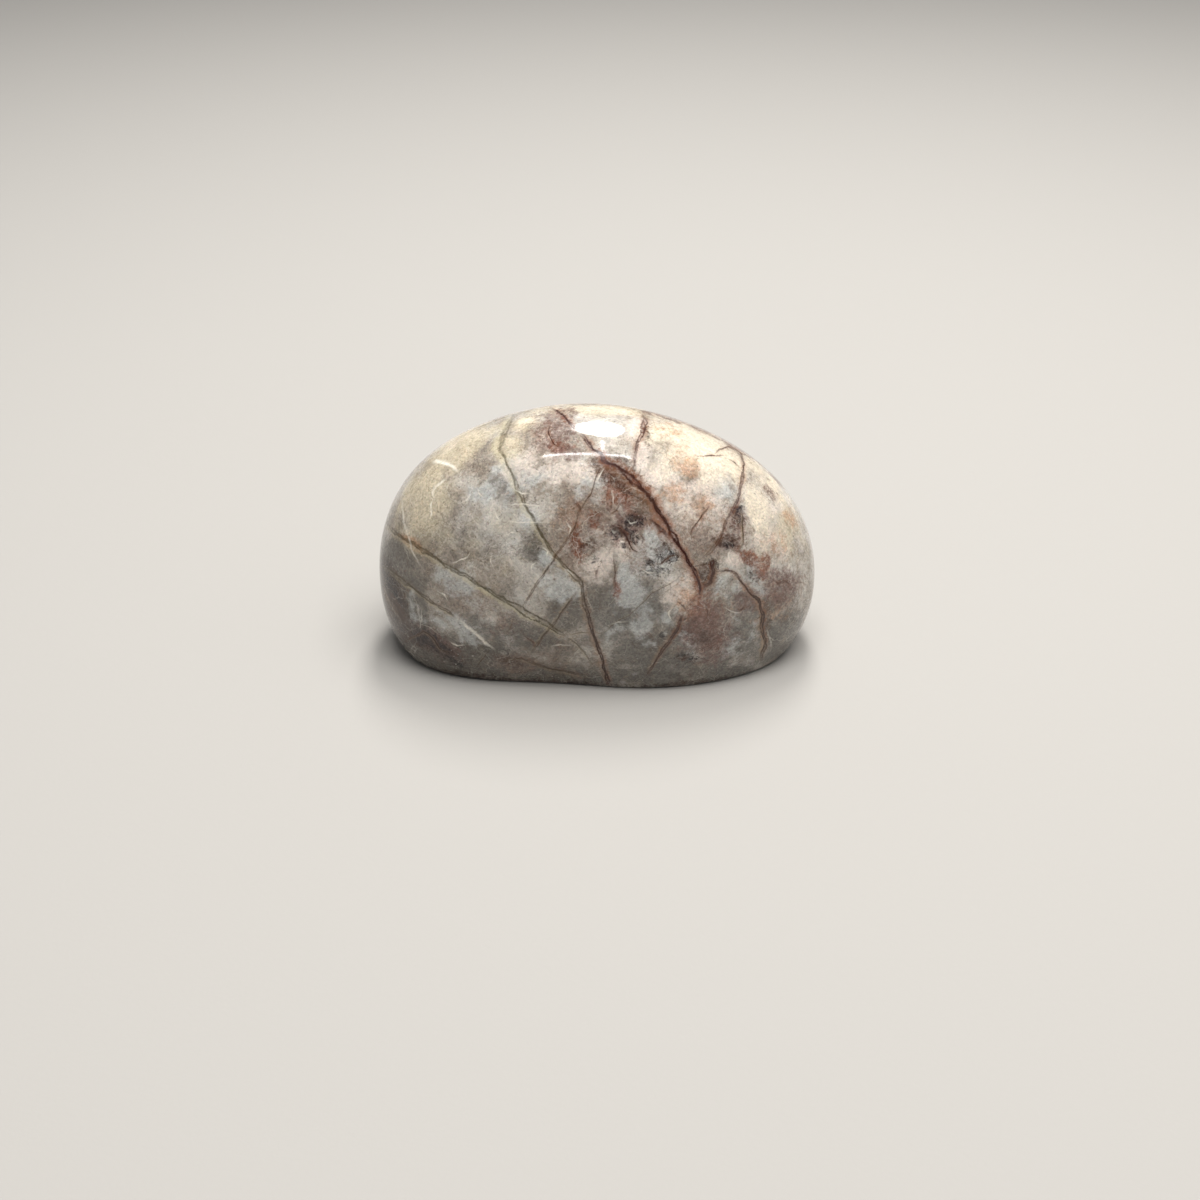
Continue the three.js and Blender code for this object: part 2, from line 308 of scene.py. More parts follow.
# Healed fractures, and two painted highlights on the rims of a pit, are sheets through the stone. Each has
# the line where it meets the shown face, in pixels, then along that line its widths in mm, its turn from
# olive to rust and its strength, and last how far it has drifted sideways and up, mm, at 40 mm behind the
# face.
seamSheets = {
    "long": {
        "oliveSeam": ([(516, 412), (509, 424), (506, 433), (501, 441), (499, 449), (505, 457), (510, 468),
            (515, 479), (520, 492), (524, 504), (534, 520), (541, 534), (549, 546), (557, 557), (565, 566),
            (574, 574), (582, 581), (584, 592), (586, 604), (590, 623), (596, 640), (602, 658), (608, 678),
            (612, 686)],
            (1.1, 1.2, 0.9, 0.8, 0.8, 0.7, 0.7), (0, 0.05, 0.2, 0.8, 0.9), (0.45, 0.5, 0.7, 0.95, 0.95),
            (-5, 4)),
        "rustSeam": ([(580, 431), (586, 438), (593, 449), (601, 453), (605, 461), (615, 464), (624, 471),
            (637, 482), (647, 492), (654, 502), (660, 514), (668, 525), (676, 541), (685, 554), (692, 567),
            (698, 580), (700, 588), (700, 595)],
            (0.6, 0.9, 1.3, 1.4, 1.1, 0.8, 0.6), (1, 1, 0.9, 1, 1), (0.8, 0.9, 1, 1.1, 1.3), (7, 3)),
        "archSeam": ([(716, 571), (726, 570), (735, 572), (741, 581), (749, 590), (759, 600), (764, 614),
            (762, 626), (766, 640), (764, 650), (761, 663)],
            (0.4, 0.5, 0.6, 0.65, 0.6, 0.5), (0.9, 0.8, 0.6), (0.6, 0.95, 1.2, 1.3, 1.1), (4, -6)),
        "lowLeftSeam": ([(384, 563), (392, 571), (404, 581), (421, 594), (434, 603), (450, 612),
            (458, 618)],
            (0.6, 0.6, 0.5), (0.3, 0.4), (0.7, 0.75), (-3, -5)),
        "lowSeam": ([(498, 659), (522, 658), (544, 666), (567, 672), (593, 676)],
            (0.4, 0.5, 0.5), (0.6, 0.6), (0.5, 0.6), (-3, -5)),
        "heelSeam": ([(384, 583), (391, 598), (400, 613), (407, 627)],
            (0.6, 0.9, 0.8), (0.6, 0.7), (0.6, 0.7), (-4, 2)),
    },
    "crossing": {
        "mainOliveSeam": ([(383, 521), (395, 532), (408, 541), (420, 548), (433, 556), (445, 564),
            (458, 572), (473, 580), (492, 592), (507, 601), (522, 610), (541, 620), (556, 629), (567, 636)],
            (0.7, 0.8, 0.9, 1.0, 1.0, 0.8), (0.4, 0.3, 0.1, 0.25), (0.6, 0.65, 0.7, 0.85, 1), (6, 5)),
        "oliveTail": ([(567, 636), (577, 644), (587, 656), (594, 666)],
            (0.3, 0.3), (0.3, 0.4), (0.6, 0.4), (6, 5)),
        "topSeam": ([(643, 412), (645, 423), (643, 434), (638, 442), (635, 454), (635, 461), (633, 473)],
            (0.9, 1.1, 0.8, 0.7, 0.5), (1, 1), (0.7, 0.8, 0.45), (3, 4)),
        "rightSeam": ([(724, 441), (741, 454), (744, 464), (744, 476), (741, 489), (738, 503), (734, 509),
            (727, 520), (723, 532), (718, 542), (709, 553), (702, 561)],
            (0.5, 0.5, 0.7, 0.5, 0.5, 0.5), (1, 1, 0.7), (0.6, 0.65, 0.4), (-6, 4)),
        "spurSeam": ([(682, 614), (681, 620), (678, 629), (670, 641), (660, 654), (651, 668), (646, 676)],
            (0.6, 0.65, 0.5, 0.45), (0.9, 0.8), (1, 0.85, 0.6), (5, -3)),
    },
    "fine": {
        "slashUpper": ([(604, 461), (599, 473), (593, 488), (590, 496), (579, 513), (575, 527), (567, 540),
            (557, 555), (553, 563), (539, 581), (528, 599), (523, 608)],
            (0.3, 0.35, 0.4, 0.4), (0.8, 0.6), (0.5, 0.4, 0.6, 0.6), (4, 7)),
        "slashLower": ([(582, 586), (571, 600), (560, 615), (553, 626), (544, 635), (536, 647), (530, 656)],
            (0.45, 0.45, 0.4), (0.6, 0.5), (0.6, 0.5), (5, -4)),
        "crossHair": ([(686, 571), (670, 585), (653, 593), (643, 603), (630, 615), (616, 623), (598, 638)],
            (0.25, 0.25, 0.2), (0.6, 0.4), (0.3, 0.35), (-5, 5)),
        "uprightHair": ([(614, 555), (615, 568), (616, 582), (617, 593)],
            (0.25, 0.35), (0.8, 0.9), (0.5, 0.6), (3, 3)),
        "rightBranch": ([(742, 508), (743, 519), (743, 532), (744, 544), (738, 553)],
            (0.3, 0.25), (0.5, 0.5), (0.7, 0.5), (3, 6)),
        "brightHair": ([(694, 456), (711, 455), (727, 455)], (0.3, 0.3), (1, 1), (0.7, 0.8), (0, 3)),
        "topStrand": ([(549, 407), (557, 411), (565, 417), (572, 424), (578, 431)],
            (0.5, 0.8, 0.6), (1, 1), (0.7, 0.9), (4, 3)),
        "secondStrand": ([(648, 517), (655, 524), (664, 530), (673, 541)],
            (0.9, 0.8), (0.9, 1), (0.7, 0.8), (4, 3)),
        "hook": ([(701, 589), (709, 583), (713, 572), (711, 563), (718, 558)],
            (0.9, 0.8, 0.5), (0.9, 0.9), (0.9, 0.9), (2, 2)),
        "shortHairLeft": ([(490, 649), (482, 661), (476, 669)],
            (0.25, 0.25), (0.5, 0.5), (0.4, 0.4), (-2, -3)),
        "shortHairMiddle": ([(516, 613), (511, 627), (505, 638)],
            (0.2, 0.2), (0.5, 0.5), (0.35, 0.35), (-2, -3)),
        "heelHairs": ([(404, 641), (413, 637), (423, 631), (431, 636), (440, 648), (452, 655)],
            (0.2, 0.3, 0.3), (0.7, 0.7), (0.6, 0.9), (-3, 2)),
        "spotHairs": ([(611, 524), (620, 528), (627, 536), (632, 549), (640, 553)],
            (0.4, 0.6, 0.4), (0.9, 0.9), (0.7, 0.9), (2, 2)),
        "sootHairs": ([(650, 566), (661, 563), (669, 557), (680, 555)],
            (0.2, 0.3, 0.2), (0.9, 0.9), (0.6, 0.8), (2, 2)),
        "levelHair": ([(567, 634), (579, 632), (591, 632)], (0.22, 0.22), (0.5, 0.5), (0.5, 0.4), (1, -3)),
    },
    "white": {
        # painted highlights: the pit glint and the arc after it are white strokes where the rims of the pit
        # cluster catch the lamp
        "pitGlint": ([(611, 529), (614, 532), (618, 531)], (0.4, 0.5), (0, 0), (1, 1), (0, 1)),
        "pitGlintArc": ([(627, 519), (631, 523), (636, 522), (638, 519)],
            (0.3, 0.35), (0, 0), (0.9, 0.8), (0, 1)),
        "healedEdge": ([(458, 618), (467, 626), (479, 635), (487, 644), (496, 650)],
            (0.55, 0.7, 0.65, 0.5), (0, 0), (0.9, 1), (-3, -5)),
        "creamBoundary": ([(404, 500), (403, 509), (405, 523), (410, 541), (412, 549), (426, 574)],
            (0.35, 0.4, 0.3), (0, 0), (0.7, 0.6), (-6, 2)),
        "brightArc": ([(431, 463), (437, 461), (445, 462), (453, 466), (459, 472)],
            (0.8, 1.1, 0.8), (0, 0), (1.3, 1.3), (0, 3)),
        "lemonSquiggle": ([(446, 479), (441, 483), (435, 487), (433, 493), (436, 501)],
            (0.5, 0.6, 0.45), (0, 0), (1.1, 1), (0, 3)),
        "smallArc": ([(478, 489), (480, 494), (487, 498)], (0.3, 0.3), (0, 0), (0.8, 0.7), (0, 2)),
        "levelLineUpper": ([(499, 503), (525, 504), (552, 507)], (0.3, 0.3), (0, 0), (0.9, 0.9), (3, 2)),
        "levelLineLower": ([(498, 520), (525, 522), (552, 521)], (0.28, 0.28), (0, 0), (0.8, 0.8), (3, 2)),
        "heelStreak": ([(423, 605), (422, 617), (421, 633)], (0.35, 0.3), (0, 0), (0.5, 0.5), (-2, 1)),
        "rightStreak": ([(767, 627), (771, 640), (771, 653)], (0.35, 0.3), (0, 0), (0.6, 0.5), (2, -1)),
    },
}

# Thin short fractures: pale ones that only catch light, and brown hairs, with one look for each kind
scratches = {
    "paleScratches": {
        "look": ((0.3, 0.36, 0.26), (0, 0), (1.0, 0.8), (1, 2)),
        "lines": [
            [(434, 497), (431, 505), (432, 515), (430, 521)], [(461, 503), (467, 500), (471, 494)],
            [(493, 506), (496, 515), (501, 524)], [(503, 535), (512, 532), (522, 533)],
            [(449, 563), (457, 561), (466, 557), (471, 551)], [(493, 551), (490, 560), (495, 570)],
            [(531, 573), (531, 566), (537, 561)], [(541, 545), (548, 551), (546, 559)],
            [(563, 568), (569, 570), (577, 578)], [(606, 467), (601, 475), (596, 484)],
            [(611, 488), (614, 497), (613, 507)], [(655, 469), (661, 476), (662, 484)],
            [(514, 488), (521, 493), (533, 494)], [(547, 484), (555, 480), (562, 484)],
            [(566, 520), (571, 528), (569, 538)], [(640, 568), (648, 573), (658, 571)],
            [(610, 624), (619, 621), (629, 621)], [(549, 646), (560, 644), (572, 645)],
            [(732, 548), (728, 557), (733, 565)], [(752, 520), (757, 529), (755, 539)],
            [(673, 606), (669, 614), (673, 622)], [(724, 606), (732, 611), (741, 613)],
            [(448, 640), (457, 645), (468, 644)], [(436, 590), (444, 594), (449, 602)],
        ],
    },
    "brownHairs": {
        "look": ((0.3, 0.4, 0.25), (0.9, 0.9), (0.7, 0.55), (2, 2)),
        "lines": [
            [(712, 454), (720, 449), (729, 446), (736, 451)], [(727, 458), (735, 462), (741, 468)],
            [(711, 504), (703, 515), (694, 529), (689, 538)],
            [(770, 577), (778, 583), (786, 580), (791, 586)],
            [(573, 499), (580, 506), (583, 515)], [(640, 532), (645, 540), (641, 547)],
            [(748, 604), (741, 610), (729, 612)], [(655, 640), (648, 634), (641, 636)],
            [(705, 601), (709, 612), (707, 622)], [(553, 420), (549, 432), (553, 443), (561, 449)],
            [(601, 565), (596, 573), (598, 583)], [(690, 655), (684, 660), (677, 659)],
            [(621, 503), (617, 511), (607, 517)], [(676, 600), (684, 606), (687, 613)],
            [(779, 466), (785, 476), (786, 487)], [(524, 634), (533, 641), (536, 650)],
        ],
    },
}
for kind, made in scratches.items():
    seamSheets[kind] = {f"{kind}{n}": (line, *made["look"]) for n, line in enumerate(made["lines"])}

# Every sheet, mm: how deep its rows lie, over what length its ends fade, and the depth its drift is given for
sheetShape = {"depths": (-12, 0, 10, 20, 32, 46, 62, 80), "tip": 1.5, "drifted": 40}


def sheetObject(name, sheets):
    # each line is carried through the stone along the line of sight, drifting further the deeper it goes
    rows = len(sheetShape["depths"])
    points, faces, sides, looks = [], [], [], []
    for pixels, *courses, (sideways, up) in sheets.values():
        line = [onStone(pixel) for pixel in pixels]
        last = len(line) - 1
        lengths = [0.0]
        for a, b in zip(line, line[1:]):
            lengths.append(lengths[-1] + (b - a).length)
        drift = across * sideways + upward * up
        first = len(points)
        for k, spot in enumerate(line):
            ray = (spot - eye).normalized()
            course = (line[min(k + 1, last)] - line[max(k - 1, 0)]).normalized()
            share = lengths[k] / lengths[-1]
            tip = min(lengths[k], lengths[-1] - lengths[k]) / (sheetShape["tip"] * mm)
            width, rust, strength = [np.interp(share, np.linspace(0, 1, len(c)), c) for c in courses]
            for depth in sheetShape["depths"]:
                bend = (max(depth, 0) / sheetShape["drifted"]) ** 2
                points.append(spot + (ray * depth + drift * bend) * mm)
                sides.append(course.cross(ray))
                looks.append((width, rust, min(tip, 1.0) * strength))
        for k in range(last):
            for row in range(rows - 1):
                a = first + k * rows + row
                faces.append((a, a + 1, a + rows + 1, a + rows))
    mesh = bpy.data.meshes.new(name)
    mesh.from_pydata(points, [], faces)
    for label, values in (("side", sides), ("look", looks)):
        layer = mesh.attributes.new(label, "FLOAT_VECTOR", "POINT")
        layer.data.foreach_set("vector", np.array(values, dtype=float).ravel())
    made = bpy.data.objects.new(name, mesh)
    bpy.context.scene.collection.objects.link(made)
    return made


def seamTree(groups):
    # gives every point its signed distance to the nearest sheet of each group, with that sheet's looks
    sockets = {"Geometry": "Geometry", "Finish": "Material"}
    sockets.update({f"{group} sheets": "Object" for group in groups})
    tree = newTree("seamFields", sockets)
    given = addNode(tree, "NodeGroupInput").outputs
    threeNumbers = {"data_type": "FLOAT_VECTOR"}
    at = addNode(tree, "GeometryNodeInputPosition")
    stone = given["Geometry"]
    for group in groups:
        info = addNode(tree, "GeometryNodeObjectInfo", {"transform_space": "ORIGINAL"},
                       {"Object": given[f"{group} sheets"]}).outputs["Geometry"]
        nearest = addNode(tree, "GeometryNodeProximity", {"target_element": "FACES"}, {"Geometry": info})
        offset = addNode(tree, vectors, "SUBTRACT", {0: at, 1: nearest.outputs["Position"]})
        sampled = []
        for label in ("side", "look"):
            value = addNode(tree, "GeometryNodeInputNamedAttribute", threeNumbers, {"Name": label})
            sampled.append(addNode(tree, "GeometryNodeSampleNearestSurface", threeNumbers,
                                   {"Mesh": info, "Value": value, "Sample Position": at}))
        turned = addNode(tree, vectors, "DOT_PRODUCT", {0: offset, 1: sampled[0]}).outputs["Value"]
        sign = addNode(tree, maths, "SIGN", {0: turned})
        far = addNode(tree, maths, "MULTIPLY", {0: nearest.outputs["Distance"], 1: 1 / mm})
        signed = addNode(tree, maths, "MULTIPLY", {0: sign, 1: far})
        both = addNode(tree, "ShaderNodeCombineXYZ", None, {0: signed, 1: far})
        for label, value in ((group + "Seam", both), (group + "Look", sampled[1])):
            stone = addNode(tree, "GeometryNodeStoreNamedAttribute", {**threeNumbers, "domain": "POINT"},
                            {"Geometry": stone, "Name": label, "Value": value}).outputs["Geometry"]
    realized = addNode(tree, "GeometryNodeRealizeInstances", None, {0: stone})
    finished = addNode(tree, "GeometryNodeSetMaterial", None, {
        "Geometry": realized, "Material": given["Finish"]})
    addNode(tree, "NodeGroupOutput", None, {0: finished})
    return tree


# Clouds and stains in the quartz, with painted shade in some patches low on the stone and painted light in
# some on
# its lit top: colour, strength, whole or broken up with holes, the size in mm and the amount of the noise
# that shapes them, how soft their edges are, and their patches. A patch has its place, as a pixel of the
# shown face or in mm, its half sizes across and up in mm, its turn in degrees and its weight.
stains = {
    # darker grey quartz, and painted shade: the broad low bands along the foot and the tall patch at the left
    # heel darken the underside where the light falls off; the rest is the quartz's own grey
    "greyAndPaintedShade": ("#5f5a53", 0.82, "whole", (7, 1.4), 0.3, [
        ((452, 659), (18, 5.5), -14, 1.3), ((540, 674), (16, 3), -4, 0.9), ((573, 613), (5, 5), 0, 0.9),
        ((400, 608), (6, 13), 12, 1.6), ((728, 675), (5, 1.8), 15, 1.1), ((655, 676), (12, 2.5), 0, 0.9),
        ((533, 640), (9, 5), -30, 0.7), ((745, 640), (5, 7), 10, 0.8), ((785, 635), (7, 9), 0, 0.75),
        ((535, 545), (4, 5), 30, 0.55), ((465, 545), (9, 5), -20, 0.35), ((620, 612), (11, 9), 0, 0.9),
        ((650, 650), (11, 6), 0, 0.9), ((475, 655), (12, 5), -15, 0.9), ((735, 600), (6, 5), 0, 0.55),
        ((596, 600), (3, 8), -20, 0.6), ((668, 538), (3, 3), 30, 0.5), ((700, 668), (9, 3), 0, 0.8),
        ((770, 605), (7, 5), 0, 0.6), ((664, 541), (3, 3), 30, 0.7), ((500, 488), (6, 5), 0, 0.45),
        ((430, 655), (8, 3), -28, 1.05), ((480, 630), (9, 4), -25, 0.6), ((718, 592), (5, 4), 0, 0.4),
        ((-34, 27, 20), (12, 9), 20, 0.7), ((14, 28, 14), (14, 6), 0, 0.8),
        ((46, 14, 22), (9, 12), 0, 0.6)]),
    "milky": ("#c8cac8", 0.7, "whole", (4, 1.6), 0.22, [
        ((457, 583), (4.5, 2.6), -30, 0.95), ((562, 588), (4.5, 3.2), 0, 0.9),
        ((630, 584), (3, 4.5), 0, 0.9), ((656, 550), (3.8, 3.6), 0, 1.5), ((726, 586), (6, 4), 20, 0.4),
        ((757, 580), (1.8, 4), 20, 0.9), ((458, 626), (6, 2.2), -28, 0.55), ((515, 471), (5, 4.5), 0, 0.8),
        ((484, 495), (2.5, 3), 0, 0.75), ((546, 560), (2.4, 2), 0, 0.7), ((640, 625), (6, 5), 0, 0.5),
        ((600, 482), (6, 4), 0, 0.6), ((417, 608), (2, 4), 20, 0.42), ((690, 640), (3, 3), 0, 0.5),
        ((526, 520), (3, 4), 0, 0.7), ((722, 492), (3, 3), 0, 0.6), ((735, 640), (3, 5), 0, 0.55),
        ((541, 478), (3, 4), 0, 0.6), ((-8, 29, 36), (9, 6), 30, 0.8), ((30, 26, 40), (6, 7), 0, 0.7),
        ((-44, 16, 30), (5, 8), 0, 0.7), ((10, 29, 22), (7, 4), -20, 0.7)]),
    "pearl": ("#ded2c8", 0.75, "whole", (3.5, 1.6), 0.24, [
        ((637, 430), (2, 5), 0, 0.9), ((682, 590), (4.5, 3), 30, 0.8), ((597, 566), (4, 3), 20, 0.8),
        ((642, 456), (2, 5), 0, 0.8), ((527, 462), (4, 5), 0, 0.6), ((625, 550), (3, 3), 0, 0.6),
        ((655, 480), (5, 4), 0, 0.8), ((690, 500), (8, 7), 0, 0.6), ((775, 520), (6, 9), 0, 0.6),
        ((735, 560), (2.4, 2), 0, 0.9), ((548, 445), (4, 3), 0, 0.6), ((570, 470), (8, 3), 0, 0.6),
        ((-20, 24, 48), (9, 6), 0, 0.8), ((22, 27, 30), (6, 6), 0, 0.7)]),
    "cream": ("#d0c4ab", 0.75, "whole", (6, 1.2), 0.3, [
        ((424, 500), (6, 9), 10, 0.95), ((455, 450), (10, 4.5), 38, 0.9), ((600, 410), (13, 1.6), 0, 0.8),
        ((787, 530), (6, 8), -10, 0.5), ((520, 425), (4, 3), 0, 0.6), ((505, 446), (4, 4), 20, 0.8),
        ((490, 530), (10, 8), 0, 0.3), ((-40, 18, 42), (9, 8), 0, 0.8), ((36, 22, 42), (10, 6), -30, 0.7),
        ((0, 16, 60), (16, 4), 0, 0.6)]),
    # cream-white quartz, and painted light: the glow on the lit top right, the strips along the top edges and
    # the small patches on the right rim brighten where the lamps fall
    "creamAndPaintedLight": ("#e4d8c4", 0.85, "whole", (5, 1.1), 0.3, [
        ((698, 445), (10, 5.5), -28, 1.1), ((757, 508), (2.8, 5), 5, 0.95), ((735, 470), (3, 4), 0, 0.7),
        ((753, 464), (3.4, 2.6), -35, 0.9), ((771, 485), (2.4, 4), 30, 0.7), ((668, 455), (5, 5), 0, 0.55),
        ((525, 421), (1.6, 0.7), 0, 0.8), ((600, 409), (10, 1.2), 0, 0.6), ((455, 440), (7, 2), 38, 0.6),
        ((18, 20, 54), (10, 4), -20, 0.7)]),
    "tan": ("#b98d6b", 0.7, "broken", (2.4, 1.8), 0.26, [
        ((689, 467), (2.2, 2), 0, 0.95), ((686, 461), (3.6, 3.4), 20, 0.6), ((700, 508), (3, 4), 0, 0.6),
        ((790, 518), (2, 2), 0, 0.7), ((688, 597), (3, 4), 0, 0.7), ((413, 543), (3.5, 1.2), -30, 0.8),
        ((775, 545), (4, 3), 0, 0.5), ((574, 515), (4, 4), 0, 0.5), ((770, 600), (8, 5), 0, 0.4),
        ((668, 430), (4, 2), -20, 0.5), ((674, 494), (3, 3), 0, 0.6), ((8, 28, 38), (5, 4), 0, 0.7),
        ((-28, 27, 34), (5, 3), 30, 0.6)]),
    "haze": ("#836f63", 0.8, "broken", (3, 1.8), 0.28, [
        ((588, 520), (6, 6), 0, 0.9), ((575, 545), (4, 5), 20, 0.85), ((733, 530), (2.6, 5), 12, 1.05),
        ((695, 535), (6, 6), 0, 0.8), ((606, 470), (4, 2.5), -25, 0.9), ((640, 505), (6, 2.4), -50, 0.85),
        ((516, 663), (5, 2.2), -5, 0.9), ((560, 655), (9, 4), 0, 0.4), ((470, 600), (8, 4), -30, 0.5),
        ((545, 440), (4, 4), 0, 0.6), ((790, 590), (5, 6), 0, 0.6), ((640, 560), (4, 3), 0, 0.6),
        ((705, 574), (2.6, 3), 0, 0.9), ((500, 625), (7, 3), -30, 0.5), ((667, 538), (2.4, 2), 30, 0.8),
        ((30, 25, 32), (7, 5), 40, 0.85), ((-18, 28, 18), (9, 5), 25, 0.7),
        ((44, 16, 40), (5, 5), 0, 0.7)]),
    "rust": ("#77432c", 0.85, "broken", (1.7, 1.9), 0.28, [
        ((619, 493), (2.6, 2.4), 0, 1.35), ((610, 478), (1.2, 2.8), 20, 0.8),
        ((627, 501), (1.4, 2), 0, 0.7), ((634, 515), (3.4, 0.9), -35, 0.8),
        ((752, 560), (3.2, 1.2), -25, 1.35), ((763, 568), (1.3, 2.4), -15, 1.3),
        ((699, 592), (1, 2.6), 0, 1.0), ((702, 618), (3.5, 5), 0, 1.0), ((712, 640), (3, 3), 0, 0.8),
        ((577, 543), (1.6, 3.6), 15, 0.85), ((560, 447), (2.6, 1.4), 0, 0.9),
        ((640, 487), (1.6, 4.5), 40, 0.6), ((617, 590), (0.9, 1.8), 0, 0.8), ((593, 520), (1.4, 2), 0, 0.7),
        ((24, 26, 36), (4, 2), 40, 0.9), ((36, 22, 18), (3, 2), 40, 0.8)]),
    "plum": ("#6f554e", 0.85, "broken", (1.8, 1.9), 0.28, [
        ((557, 428), (4, 5.5), 15, 0.9), ((566, 412), (2.4, 2.2), -45, 0.85),
        ((567, 451), (3, 2), -10, 0.8), ((781, 587), (3.6, 3), 0, 1.35), ((773, 577), (1.6, 2), -45, 1.1),
        ((747, 600), (3, 3), 0, 0.8), ((705, 632), (5.5, 5.5), 0, 0.95), ((712, 655), (5, 2.4), 0, 0.7),
        ((668, 417), (6, 1), -15, 0.9), ((700, 429), (6, 0.8), -24, 0.8), ((735, 446), (6, 1), -32, 1.0),
        ((770, 492), (1.8, 1.2), -40, 0.9), ((436, 643), (5.5, 2.2), -30, 1.0),
        ((738, 520), (1.8, 3.4), 0, 0.85), ((728, 541), (3, 1.6), 0, 0.9), ((659, 519), (2, 3), 30, 0.8),
        ((626, 525), (4.5, 4), 0, 0.8), ((-2, 26, 50), (6, 4), 0, 0.8), ((42, 20, 14), (5, 4), 0, 0.9),
        ((-46, 14, 12), (4, 5), 0, 0.8)]),
    # dark brown stains, and painted shade at the left heel and along the foot
    "umberAndPaintedShade": ("#45332a", 0.9, "broken", (1.1, 2.0), 0.28, [
        ((613, 468), (3.6, 2.4), -20, 1.5), ((626, 478), (4, 2.3), -42, 1.45),
        ((645, 497), (3.4, 1.2), -52, 1.1), ((640, 490), (3, 1.2), -48, 0.75),
        ((705, 577), (2.2, 2.4), 0, 1.0), ((677, 629), (0.9, 2.6), -28, 0.85),
        ((764, 622), (1.1, 4), 0, 1.0), ((703, 640), (2.4, 2), 0, 0.7), ((646, 432), (0.9, 3), 0, 0.8),
        ((589, 545), (1.5, 1.5), 0, 0.6), ((737, 515), (1.2, 2.4), 0, 0.8),
        ((725, 541), (2.6, 1.4), 0, 0.85), ((437, 645), (4, 1.6), -32, 0.9), ((752, 577), (2, 1), -40, 0.6),
        # painted shade: the patches at the left heel and the long thin ones along the foot darken the edge
        # where the stone meets the floor
        ((394, 602), (2.2, 7), 14, 2.2), ((383, 588), (1.4, 6), 8, 1.3), ((412, 634), (4, 2), -40, 1.1),
        ((403, 625), (1.6, 3), 20, 1.2), ((664, 548), (2, 1.4), 30, 0.7), ((512, 661), (2.6, 1), -10, 0.8),
        ((470, 676), (16, 0.8), -6, 0.8), ((550, 684), (14, 0.7), -2, 0.8), ((690, 683), (14, 0.7), 6, 0.7),
        ((32, 24, 26), (4, 1.4), 44, 0.8)]),
    "ink": ("#2c2528", 0.95, "broken", (0.8, 2.6), 0.24, [
        ((424, 636), (2.8, 1.8), -20, 1.15), ((437, 645), (3.4, 1.2), -35, 1.0),
        # the tall patch at the left heel edge, first on this line, is partly a dark streak and partly painted
        # shade
        ((395, 603), (1.5, 6), 14, 1.0), ((456, 662), (3, 0.7), -30, 0.75), ((621, 532), (2, 1.4), 0, 1.05),
        ((634, 521), (2, 1.1), 10, 1.15), ((629, 539), (1.4, 2.2), -20, 0.9),
        ((650, 563), (0.8, 0.7), 0, 1.2), ((670, 557), (2.1, 1), 15, 1.05),
        ((656, 571), (2.6, 0.9), 0, 0.8), ((739, 509), (0.7, 1.0), 0, 1.0),
        ((742, 519), (0.6, 0.6), 0, 0.9), ((728, 545), (1.2, 0.7), 0, 0.8),
        ((713, 566), (0.9, 1.6), 10, 1.0), ((686, 657), (2.1, 1), 0, 0.95),
        ((662, 635), (0.6, 0.6), 0, 0.9), ((596, 560), (0.8, 0.8), 0, 0.8),
        ((-10, 28, 26), (2, 1.4), 20, 0.9), ((-44, 15, 9), (3, 2), 0, 0.9)]),
}

# Detail and roughness of the noise in whole and broken stains, where their edge lies, how fast a patch fades
# and how much deeper than wide it is
stainShape = {"whole": (3.0, 0.52), "broken": (5.0, 0.68), "edge": 0.42, "fade": 0.6, "depth": 1.6}


# The quartz itself: sizes and widths in mm
quartzBody = {
    # noise value, colour, cover
    "clouds": [(0.32, "#82776b", 1), (0.44, "#a0978c", 1), (0.53, "#b7b0a7", 1), (0.66, "#cecac3", 1)],
    "cloudNoise": (13, 5.0, 0.55),  # size, detail, roughness
    # space bent by noise: noise size, detail, the noise value that moves nothing, and how far 1 more moves it
    "spaces": {"warped": (9, 4.0, 0.5, 8), "frayed": (1.6, 3.0, 0.5, 0.8), "bent": (3, 3.0, 0.0, 4)},
    # noise read as an effect: size, detail, roughness, least and most noise read, least and most effect
    "fields": {
        "holes": (1.1, 4.0, 0.75, 0.4, 0.58, 0.5, 1.0), "wiggle": (3.5, 4.0, 0.55, 0.0, 1.0, -0.5, 0.5),
        "jitter": (0.8, 2.0, 0.5, 0.0, 1.0, 0.0, 0.25), "ragged": (1.3, 4.0, 0.7, 0.3, 0.7, 0.6, 1.3),
        "patchy": (4, 5.0, 0.7, 0.32, 0.55, 0.5, 1.0)},
    # cell size, least and most tone
    "grains": [(9.0, 0.9, 1.1), (3.6, 0.94, 1.06), (0.9, 0.96, 1.04), (0.42, 0.74, 1.26)],
    # size, detail, least and most tone
    "mottling": [(5.0, 4.0, 0.92, 1.08), (1.8, 5.0, 0.91, 1.09), (0.7, 4.0, 0.94, 1.06)],
    "clearing": (0.3, 0.6, 0.4),  # brightness where the grain starts to fade and where it stops, share lost
    "tint": (0.45, 0.15),  # size, and how far apart red, green and blue may drift
    # cell size, line width, colour, cover, seed
    "hairlines": [
        (11, 0.16, "#5f4f3d", 0.45, 3.0), (6, 0.12, "#65503f", 0.3, 53.0), (9, 0.14, "#ece5d8", 0.24, 11.0),
        (17, 0.2, "#ece5d8", 0.34, 29.0), (5, 0.11, "#f4eee2", 0.16, 41.0)],
    # cell size, speck radius, colour, cover, seed
    "specks": [
        (1.7, 0.3, "#4b3527", 0.7, 5.0), (1.5, 0.25, "#f2ebe0", 0.6, 17.0),
        (0.9, 0.2, "#3d3028", 0.6, 31.0), (0.8, 0.18, "#f6f0e6", 0.55, 47.0)],
    # size of the swarms that lines and specks come in, and the noise where they start and where all are there
    "swarms": {"hairlines": (8, 0.46, 0.6), "specks": (9, 0.45, 0.65)},
}

# The polish: roughness on bare quartz and in a seam, the swell of the ground face, how far seams lie under it
polish = {"roughness": (0.07, 0.2), "swell": 7, "seamDip": -0.3, "relief": 0.06, "ior": 1.54}

